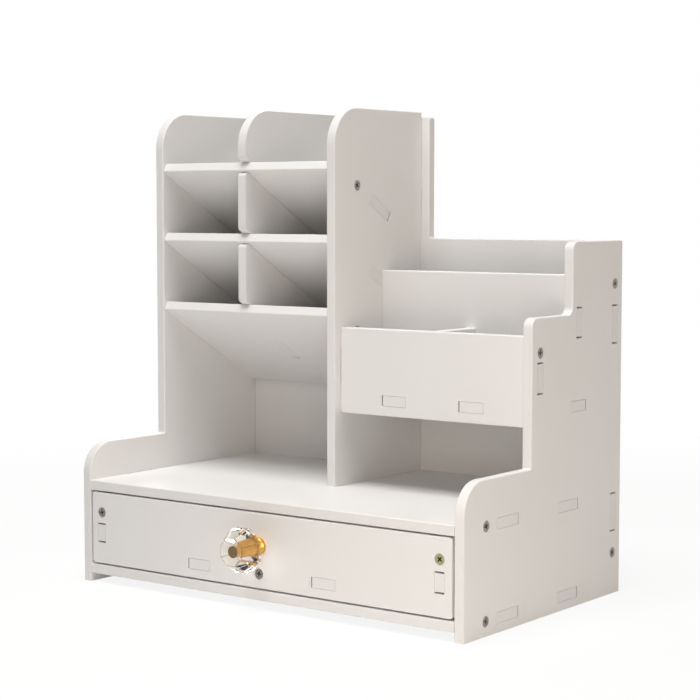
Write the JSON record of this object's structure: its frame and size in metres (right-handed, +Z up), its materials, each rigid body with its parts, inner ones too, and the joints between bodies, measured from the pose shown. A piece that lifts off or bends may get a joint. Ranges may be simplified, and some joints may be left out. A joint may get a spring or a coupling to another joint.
{
  "type": "pen holder with drawer",
  "caption": "White board desk organizer with a rack of sloping pen shelves, open stationery boxes and a low drawer with a crystal knob.",
  "frame": {"origin": "on the desk, under the middle of the whole with the knob counted in", "axes": "+X to the right as seen from the front, +Y from the front to the back, +Z up"},
  "size_m": [0.3, 0.2076, 0.3097],
  "materials": {
    "white_board": "satin white foam board",
    "screw_steel": "dark zinc plate",
    "crystal": "clear, cut and polished",
    "gilt": "polished gilt"
  },
  "bodies": {
    "cabinet": {"left_side_panel": "white_board", "right_side_panel": "white_board", "tower_panel": "white_board", "bottom_panel": "white_board", "deck_panel": "white_board", "back_panel": "white_board", "pen_shelf_bottom": "white_board", "pen_shelf_middle": "white_board", "pen_shelf_top": "white_board", "rack_divider": "white_board", "box_front_panel": "white_board", "box_floor": "white_board", "box_divider_panel": "white_board", "box_partition": "white_board", "cabinet_screws": "screw_steel"},
    "drawer": {"drawer_front": "white_board", "drawer_left_side": "white_board", "drawer_right_side": "white_board", "drawer_back": "white_board", "drawer_bottom": "white_board", "drawer_screws": "screw_steel", "knob_crystal": "crystal", "knob_core": "gilt", "knob_screw": "screw_steel"}
  },
  "joints": [
    {"name": "drawer_slide", "type": "slide", "parent": "cabinet", "child": "drawer", "axis": [0, -1, 0], "range_m": [0, 0.12]}
  ]
}
